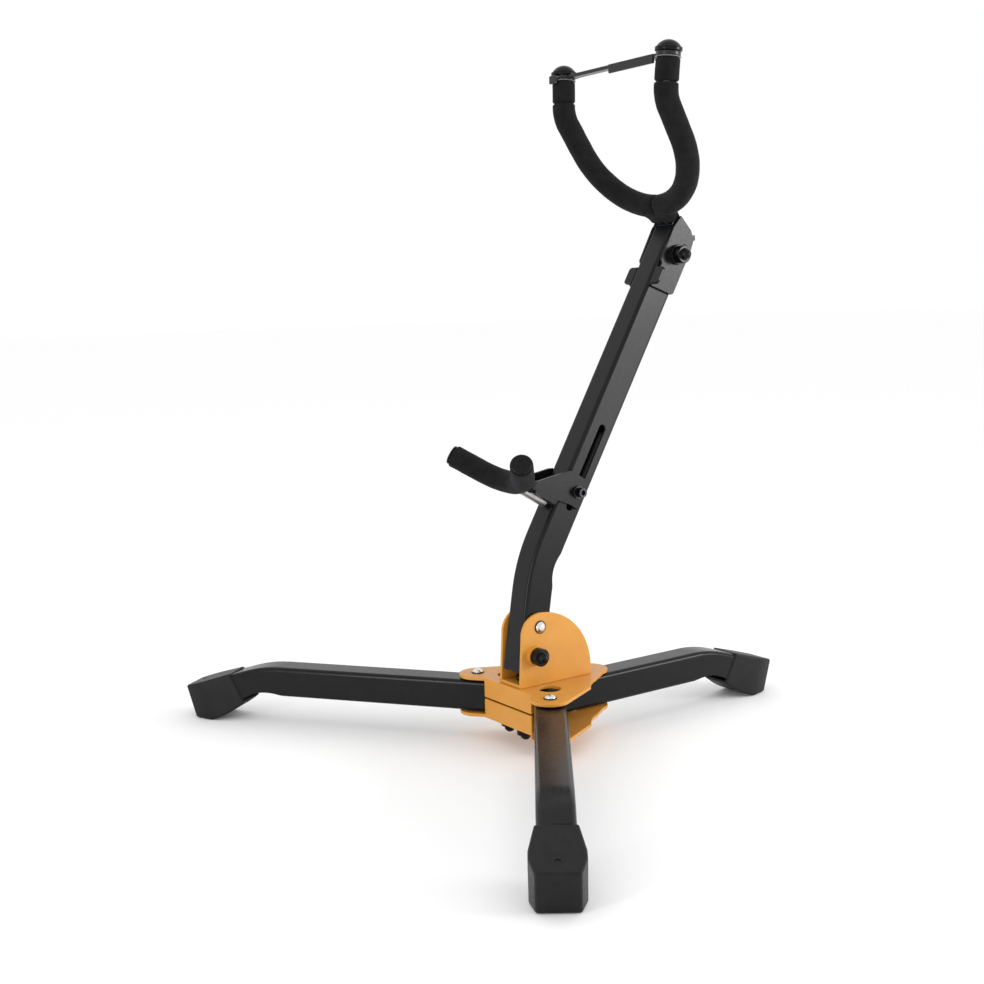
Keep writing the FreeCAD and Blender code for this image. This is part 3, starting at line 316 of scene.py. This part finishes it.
def moulding(name, colour, rough, coat=0.3, gloss=0.3):
    """Injection moulded plastic with a faint texture."""
    s = Shader(name)
    lighter = tuple(c * 1.35 for c in colour)
    s.set(Base_Color=s.blend(s.ramp(s.noise(200.0), 0.0, 1.0), colour, lighter), Specular_IOR_Level=gloss)
    s.set(Roughness=s.ramp(s.noise(800.0), rough * 0.85, rough * 1.15), Coat_Weight=coat, Coat_Roughness=0.1)
    s.set(Normal=s.bump(s.noise(1800.0), 0.00004))
    return s.material


MATERIALS = {
    "orange_paint": orange_paint(),
    "black_powder_coat": powder_coat(),
    "foot_rubber": foot_rubber(),
    "nickel_rivet": plated("nickel_rivet", (0.80, 0.78, 0.74), 0.16),
    # dark_ring: a dark flange under the pivot rivet heads, put where the rivets cast their shadow; its
    # darkness is painted shade
    "dark_ring": plated("dark_ring", (0.045, 0.045, 0.048), 0.35),
    "steel_bush": plated("steel_bush", (0.55, 0.55, 0.54), 0.35),
    "nylon_washer": moulding("nylon_washer", (0.012, 0.012, 0.012), 0.5, 0.0),
    "black_oxide_bolt": plated("black_oxide_bolt", (0.05, 0.05, 0.054), 0.3),
    "knob_plastic": moulding("knob_plastic", (0.0018, 0.0018, 0.0020), 0.16, 0.0, 0.2),
    "spring_steel": plated("spring_steel", (0.5, 0.5, 0.5), 0.3),
    "pin_steel": plated("pin_steel", (0.6, 0.6, 0.6), 0.25),
    "zinc_rod": plated("zinc_rod", (0.52, 0.52, 0.50), 0.36, 300.0),
    "black_foam": foam(),
    "light_ring": moulding("light_ring", (0.16, 0.16, 0.165), 0.35, 0.0),
    "latch_plastic": moulding("latch_plastic", (0.008, 0.008, 0.009), 0.3, 0.1, 0.3),
}
SLOTS = {row["node"]: row["material_slot"] for row in frame["record"]["subparts"]}


# ---------------------------------------------------------------- CAD nodes

def geometry_group(name):
    """Empty geometry node group with its first and last node."""
    group = bpy.data.node_groups.new(name, "GeometryNodeTree")
    group.interface.new_socket("Geometry", in_out="INPUT", socket_type="NodeSocketGeometry")
    group.interface.new_socket("Geometry", in_out="OUTPUT", socket_type="NodeSocketGeometry")
    return group, group.nodes.new("NodeGroupInput"), group.nodes.new("NodeGroupOutput")


def maths(group, operation, second=None):
    """Math node, with a fixed second value if one is given."""
    node = group.nodes.new("ShaderNodeMath")
    node.operation = operation
    if second is not None:
        node.inputs[1].default_value = second
    return node


def shade_by_angle(limit):
    """Node group that smooths every edge flatter than the limit."""
    group, start, end = geometry_group("shade_by_angle")
    angle = group.nodes.new("GeometryNodeInputMeshEdgeAngle")
    flat = group.nodes.new("FunctionNodeCompare")
    flat.data_type = "FLOAT"
    flat.operation = "LESS_THAN"
    flat.inputs[1].default_value = limit
    faces = group.nodes.new("GeometryNodeSetShadeSmooth")
    faces.domain = "FACE"
    edges = group.nodes.new("GeometryNodeSetShadeSmooth")
    edges.domain = "EDGE"
    link = group.links.new
    link(start.outputs[0], faces.inputs["Geometry"])
    link(faces.outputs[0], edges.inputs["Geometry"])
    link(angle.outputs["Unsigned Angle"], flat.inputs[0])
    link(flat.outputs[0], edges.inputs["Shade Smooth"])
    link(edges.outputs[0], end.inputs[0])
    return group


def weigh_edges(sharp, short):
    """Node group that marks an edge for the bevel if it is sharp and not short."""
    group, start, end = geometry_group("weigh_edges")
    angle = group.nodes.new("GeometryNodeInputMeshEdgeAngle")
    ends = group.nodes.new("GeometryNodeInputMeshEdgeVertices")
    length = group.nodes.new("ShaderNodeVectorMath")
    length.operation = "DISTANCE"
    is_sharp = maths(group, "GREATER_THAN", sharp)
    is_long = maths(group, "GREATER_THAN", short)
    weight = maths(group, "MULTIPLY")
    store = group.nodes.new("GeometryNodeStoreNamedAttribute")
    store.data_type = "FLOAT"
    store.domain = "EDGE"
    store.inputs["Name"].default_value = "bevel_weight_edge"
    link = group.links.new
    link(start.outputs[0], store.inputs["Geometry"])
    link(ends.outputs["Position 1"], length.inputs[0])
    link(ends.outputs["Position 2"], length.inputs[1])
    link(angle.outputs["Unsigned Angle"], is_sharp.inputs[0])
    link(length.outputs["Value"], is_long.inputs[0])
    link(is_sharp.outputs[0], weight.inputs[0])
    link(is_long.outputs[0], weight.inputs[1])
    link(weight.outputs[0], store.inputs["Value"])
    link(store.outputs[0], end.inputs[0])
    return group


SHADING = shade_by_angle(SMOOTH_ANGLE)
FOOT_EDGES = weigh_edges(SHARP_EDGE, SHORT_EDGE * MM)


def finish_edges(obj, width, weights):
    """Weld, join flat faces, round the sharp edges and smooth the rest, all as modifiers.

    With a node group of weights, only the edges it marks are rounded.
    """
    weld = obj.modifiers.new("weld", "WELD")
    weld.merge_threshold = WELD_GAP * MM
    flat = obj.modifiers.new("join_flat_faces", "DECIMATE")
    flat.decimate_type = "DISSOLVE"
    flat.angle_limit = FLAT_ANGLE
    if weights is not None:
        weigh = obj.modifiers.new("weigh_edges", "NODES")
        weigh.node_group = weights
    bevel = obj.modifiers.new("round_edges", "BEVEL")
    bevel.width = width * MM
    bevel.segments = EDGE_SEGMENTS
    bevel.limit_method = "ANGLE" if weights is None else "WEIGHT"
    bevel.angle_limit = SHARP_EDGE
    bevel.use_clamp_overlap = False
    bevel.loop_slide = False
    bevel.miter_outer = "MITER_ARC"
    shade = obj.modifiers.new("shade", "NODES")
    shade.node_group = SHADING
    level = obj.modifiers.new("level_shading", "WEIGHTED_NORMAL")
    level.keep_sharp = True
    level.weight = LEVEL_WEIGHT


def dress_nodes():
    """Give every CAD node its slot's material and its edges."""
    for name, obj in NODES.items():
        slot = SLOTS[name]
        obj.data.materials.clear()
        obj.data.materials.append(MATERIALS[slot])
        weights = FOOT_EDGES if slot == "foot_rubber" else None
        finish_edges(obj, EDGE_WIDTHS.get(slot, EDGE_WIDTH), weights)


# ---------------------------------------------------------------- foam

def rounded_line(points, radii, step):
    """Points along straight runs joined by tangent arcs."""
    line = [points[0]]
    for i in range(1, len(points) - 1):
        corner = points[i]
        before = (corner - points[i - 1]).normalized()
        after = (points[i + 1] - corner).normalized()
        turn = before.angle(after)
        radius = radii[i - 1]
        reach = radius * math.tan(turn / 2)
        inward = (after - before).normalized()
        centre = corner + inward * (radius / math.cos(turn / 2))
        start = corner - before * reach - centre
        axis = before.cross(after).normalized()
        count = max(2, round(radius * turn / step))
        for k in range(count + 1):
            line.append(centre + Matrix.Rotation(turn * k / count, 3, axis) @ start)
    line.append(points[-1])
    return line


def even(line, step):
    """The same line with points about a step apart."""
    lengths = [0.0]
    for a, b in zip(line, line[1:]):
        lengths.append(lengths[-1] + (b - a).length)
    count = max(2, round(lengths[-1] / step))
    spaced, k = [], 0
    for i in range(count + 1):
        want = lengths[-1] * i / count
        while k < len(line) - 2 and lengths[k + 1] < want:
            k += 1
        share = (want - lengths[k]) / max(lengths[k + 1] - lengths[k], TINY)
        spaced.append(line[k].lerp(line[k + 1], min(share, 1.0)))
    return spaced


def fork_point(x, v):
    """A point of the fork's leaning plane, v up it from the bottom of the U."""
    return at(x, FORK_Y - v * math.sin(FORK_LEAN), FORK_Z + v * math.cos(FORK_LEAN))


def fork_elbow():
    """The corner between an arm's flare and its upright tip."""
    arc_end = FORK_ARC - FORK_ARC * math.sin(FORK_FLARE)
    x = FORK_ARC * math.cos(FORK_FLARE) + (FORK_ELBOW - arc_end) * math.tan(FORK_FLARE)
    return fork_point(x, FORK_ELBOW)


def fork_line(tip_length):
    """Centre line of the right arm: stem, outward turn, U arc, flare, elbow, upright tip."""
    turn_x = STEM_X + STEM_ARC
    turn_v = FORK_ARC - math.sqrt((FORK_ARC + STEM_ARC) ** 2 - turn_x ** 2)
    share = FORK_ARC / (FORK_ARC + STEM_ARC)
    meet = (turn_x * share, FORK_ARC - (FORK_ARC - turn_v) * share)
    meet_angle = math.atan2(meet[1] - turn_v, meet[0] - turn_x)
    line = [fork_point(STEM_X, STEM_ROOT)]
    for k in range(STEM_STEPS + 1):
        a = math.pi + (meet_angle - math.pi) * k / STEM_STEPS
        line.append(fork_point(turn_x + STEM_ARC * math.cos(a), turn_v + STEM_ARC * math.sin(a)))
    start = math.atan2(meet[1] - FORK_ARC, meet[0])
    for k in range(1, ARC_STEPS + 1):
        a = start + (-FORK_FLARE - start) * k / ARC_STEPS
        line.append(fork_point(FORK_ARC * math.cos(a), FORK_ARC + FORK_ARC * math.sin(a)))
    elbow = fork_elbow()
    tip = elbow + TIP_WAY * tip_length * MM
    return line + rounded_line([line[-1], elbow, tip], [FORK_ELBOW_ARC * MM], MM)[1:]


def cradle_line():
    """Centre line of the cradle's V, from its left tip to its right."""
    def spot(x, out):
        return post_point(CRADLE_ALONG + out * math.tan(CRADLE_TILT), CRADLE_ACROSS - out, x)
    corners = [spot(-CRADLE_TIP[0], CRADLE_TIP[1]), spot(0.0, CRADLE_VERTEX), spot(*CRADLE_TIP)]
    return rounded_line(corners, [CRADLE_ARC * MM], MM)


def sweep_rings(line):
    """Frames along a line: (point, side, up, inward bend per millimetre)."""
    frames = []
    side = None
    for i, point in enumerate(line):
        way = (line[min(i + 1, len(line) - 1)] - line[max(i - 1, 0)]).normalized()
        if side is None:
            side = way.orthogonal().normalized()
        side = (side - way * side.dot(way)).normalized()
        up = way.cross(side)
        before = line[max(i - 2, 0)]
        after = line[min(i + 2, len(line) - 1)]
        bend = (before + after - point * 2.0) / max((after - before).length / 2, TINY) ** 2 * MM
        frames.append((point, side, up, bend))
    return frames


def foam_sleeve(name, line, radius, bore, seed, shape=None):
    """Closed tube of foam: rounded ends, a bore, soft unevenness and wrinkles inside the bends."""
    frames = sweep_rings(even(line, FOAM_STEP * MM))
    mesh = bmesh.new()
    rings = []

    def skin_radius(spot, out, bend, size):
        """Radius of the skin at a spot: soft waves, and creases where the foam is pinched."""
        wave = WAVE * noise.noise(spot * WAVE_SCALE + seed)
        ripple = RIPPLE * noise.noise(spot * RIPPLE_SCALE + seed)
        pinch = min(max(out.dot(bend), 0.0) * PINCH_GAIN, PINCH_LIMIT)
        along = (spot - seed).dot(CREASE_WAY) * CREASE_PITCH
        return size + wave + ripple - pinch * CREASE * (0.5 + 0.5 * math.sin(along)) ** 3

    def add_ring(frame, size, skin, shift=0.0, way=Vector()):
        point, side, up, bend = frame
        ring = []
        for k in range(SEGMENTS):
            angle = 2 * math.pi * k / SEGMENTS
            out = side * math.cos(angle) + up * math.sin(angle)
            r = skin_radius(point / MM + out * radius, out, bend, size) if skin else size
            position = point + (out * r + way * shift) * MM
            if shape is not None and skin:
                position = shape(position)
            ring.append(mesh.verts.new(position))
        rings.append(ring)

    def add_end(frame, way, turns):
        """Rings that turn the edge of an end over a quarter circle."""
        for k in turns:
            angle = math.pi / 2 * k / END_RINGS
            size = radius - END_ROUND * (1 - math.cos(angle))
            add_ring(frame, size, True, END_ROUND * math.sin(angle), way)

    trim = max(1, round(END_ROUND / FOAM_STEP))
    first_way = (frames[0][0] - frames[1][0]).normalized()
    last_way = (frames[-1][0] - frames[-2][0]).normalized()
    add_ring(frames[0], bore, False)
    add_end(frames[trim], first_way, range(END_RINGS, 0, -1))
    for frame in frames[trim:-trim]:
        add_ring(frame, radius, True)
    add_end(frames[-1 - trim], last_way, range(1, END_RINGS + 1))
    for frame in reversed(frames[1:]):
        add_ring(frame, bore, False)
    for a, b in zip(rings, rings[1:] + rings[:1]):
        for k in range(SEGMENTS):
            n = (k + 1) % SEGMENTS
            mesh.faces.new((a[k], a[n], b[n], b[k]))
    bmesh.ops.recalc_face_normals(mesh, faces=mesh.faces)
    data = bpy.data.meshes.new(name)
    mesh.to_mesh(data)
    mesh.free()
    for polygon in data.polygons:
        polygon.use_smooth = True
    data.materials.append(MATERIALS["black_foam"])
    obj = bpy.data.objects.new(name, data)
    bpy.context.scene.collection.objects.link(obj)
    return obj


def fork_place(p):
    """The inverse of fork_point, with the distance in front of the fork's plane."""
    sl, cl = math.sin(FORK_LEAN), math.cos(FORK_LEAN)
    y = (p.y - HUB_SHIFT) / MM - FORK_Y
    z = p.z / MM - FORK_Z
    return z * cl - y * sl, -y * cl - z * sl


def fork_spot(x, v, front):
    """A point of the fork's plane, moved forwards out of it."""
    return fork_point(x, v) - Vector((0.0, math.cos(FORK_LEAN), math.sin(FORK_LEAN))) * front * MM


def filled_crotch(x, v, front):
    """Foam pressed up between the two arms, out to the round of the U, with a crease at the joint."""
    if x > CROTCH_WIDTH:
        return x, v, front
    ring = math.hypot(x, v - FORK_ARC)
    off = ring - FORK_ARC
    reach = math.hypot(off, front)
    target = FOAM_RADIUS - CROTCH_CREASE * math.exp(-(x / CREASE_WIDTH) ** 2)
    share = min(max((CROTCH_BLEND[0] - off) / CROTCH_BLEND[1], 0.0), 1.0)
    if reach < NEAR_ROD or reach >= target or share == 0.0:
        return x, v, front
    grown = 1.0 + (target / reach - 1.0) * share * share * (3.0 - 2.0 * share)
    moved = (FORK_ARC + off * grown) / ring
    return x * moved, FORK_ARC + (v - FORK_ARC) * moved, front * grown


def squeezed(side):
    """Foam of one arm pressed against its twin, the bracket's web and its side plate."""
    def shape(p):
        v, front = fork_place(p)
        x, v, front = filled_crotch(max(side * p.x / MM, TWIN_GAP), v, front)
        p = fork_spot(x, v, front)
        along, across = post_place(p)
        clear = max(0.0, along - PLATE_TOP, PLATE_FRONT - across)
        x = min(max(x, TWIN_GAP), PLATE_INSIDE + PLATE_RELEASE * clear)
        return post_point(max(along, WEB_TOP), across, side * x)
    return shape


def mirrored_line(line):
    """The same line on the other arm."""
    return [Vector((-p.x, p.y, p.z)) for p in line]


def build_foam():
    """Foam of the fork's arms and tips and of the cradle, in place of the CAD's plain sleeves."""
    arm = fork_line(FORK_FOAM_END)
    elbow = fork_elbow()
    sleeve = [elbow + TIP_WAY * d * MM for d in SLEEVE_SPAN]
    pieces = []
    sleeves = []
    for side, name in ((1, "right"), (-1, "left")):
        line = arm if side > 0 else mirrored_line(arm)
        seed = FORK_SEED * side
        pieces.append(foam_sleeve(name + "_fork_sleeve", line, FOAM_RADIUS, ROD_RADIUS, seed,
                                  squeezed(side)))
        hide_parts(name + "_fork_foam")
        short = sleeve if side > 0 else mirrored_line(sleeve)
        sleeves.append(foam_sleeve(name + "_tip_sleeve", short, FOAM_RADIUS, ROD_RADIUS, seed * 2.0))
        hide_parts("fork_tip_sleeves")
    for piece in pieces + sleeves:
        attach(piece, "fork")
    cradle = foam_sleeve("cradle_sleeve", cradle_line(), CRADLE_FOAM_RADIUS, CRADLE_ROD_RADIUS,
                         CRADLE_SEED)
    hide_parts("cradle_foam")
    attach(cradle, "cradle")


# ---------------------------------------------------------------- stage, light, camera

def build_stage():
    """Plain pale floor just under the feet."""
    data = bpy.data.meshes.new("floor")
    half = FLOOR_SIZE / 2
    level = CAD_BOX[0][2] - FLOOR_DROP
    corners = [(-half, -half), (half, -half), (half, half), (-half, half)]
    data.from_pydata([(x, y, level) for x, y in corners], [], [(0, 1, 2, 3)])
    floor = bpy.data.objects.new("floor", data)
    bpy.context.scene.collection.objects.link(floor)
    s = Shader("pale_floor")
    s.set(Base_Color=(0.99, 0.99, 0.99, 1.0), Roughness=0.95, Specular_IOR_Level=0.1)
    data.materials.append(s.material)


def area_light(name, place, target, size, radiance):
    """Soft rectangular light of a given brightness, hidden from the camera itself."""
    data = bpy.data.lights.new(name, "AREA")
    data.shape = "RECTANGLE"
    data.size = size[0]
    data.size_y = size[1]
    data.energy = radiance * math.pi * size[0] * size[1]
    light = bpy.data.objects.new(name, data)
    bpy.context.scene.collection.objects.link(light)
    light.visible_camera = False
    light.location = place
    light.rotation_euler = (Vector(target) - Vector(place)).to_track_quat("-Z", "Y").to_euler()


def build_light():
    """White studio all round, two panels behind on the stand's right and a strip in front."""
    world = bpy.data.worlds.new("studio")
    bpy.context.scene.world = world
    world.use_nodes = True
    back = world.node_tree.nodes["Background"]
    back.inputs["Color"].default_value = (1.0, 1.0, 1.0, 1.0)
    back.inputs["Strength"].default_value = 1.0
    area_light("side_high", **HIGH_PANEL, radiance=HIGH_RADIANCE)
    area_light("side_low", **LOW_PANEL, radiance=LOW_RADIANCE)
    area_light("strip", **STRIP, radiance=STRIP_RADIANCE)


def build_camera():
    """Camera ahead and to the right, looking slightly down and rolled a little."""
    back_flat = Vector((math.sin(CAMERA_TURN), -math.cos(CAMERA_TURN), 0.0))
    forward = -back_flat * math.cos(CAMERA_DIP) - Vector((0, 0, math.sin(CAMERA_DIP)))
    level = Vector((math.cos(CAMERA_TURN), math.sin(CAMERA_TURN), 0.0))
    top = level.cross(forward)
    right = level * math.cos(CAMERA_ROLL) + top * math.sin(CAMERA_ROLL)
    up = -level * math.sin(CAMERA_ROLL) + top * math.cos(CAMERA_ROLL)
    data = bpy.data.cameras.new("camera")
    data.lens = LENS
    data.sensor_width = SENSOR_WIDTH
    data.clip_start = NEAREST
    camera = bpy.data.objects.new("camera", data)
    bpy.context.scene.collection.objects.link(camera)
    turn = Matrix((right, up, -forward)).transposed()
    camera.matrix_world = Matrix.Translation(at(*CAMERA_AT)) @ turn.to_4x4()
    bpy.context.scene.camera = camera
    bpy.context.scene.view_settings.view_transform = "Standard"


dress_nodes()
build_foam()
build_stage()
build_light()
build_camera()
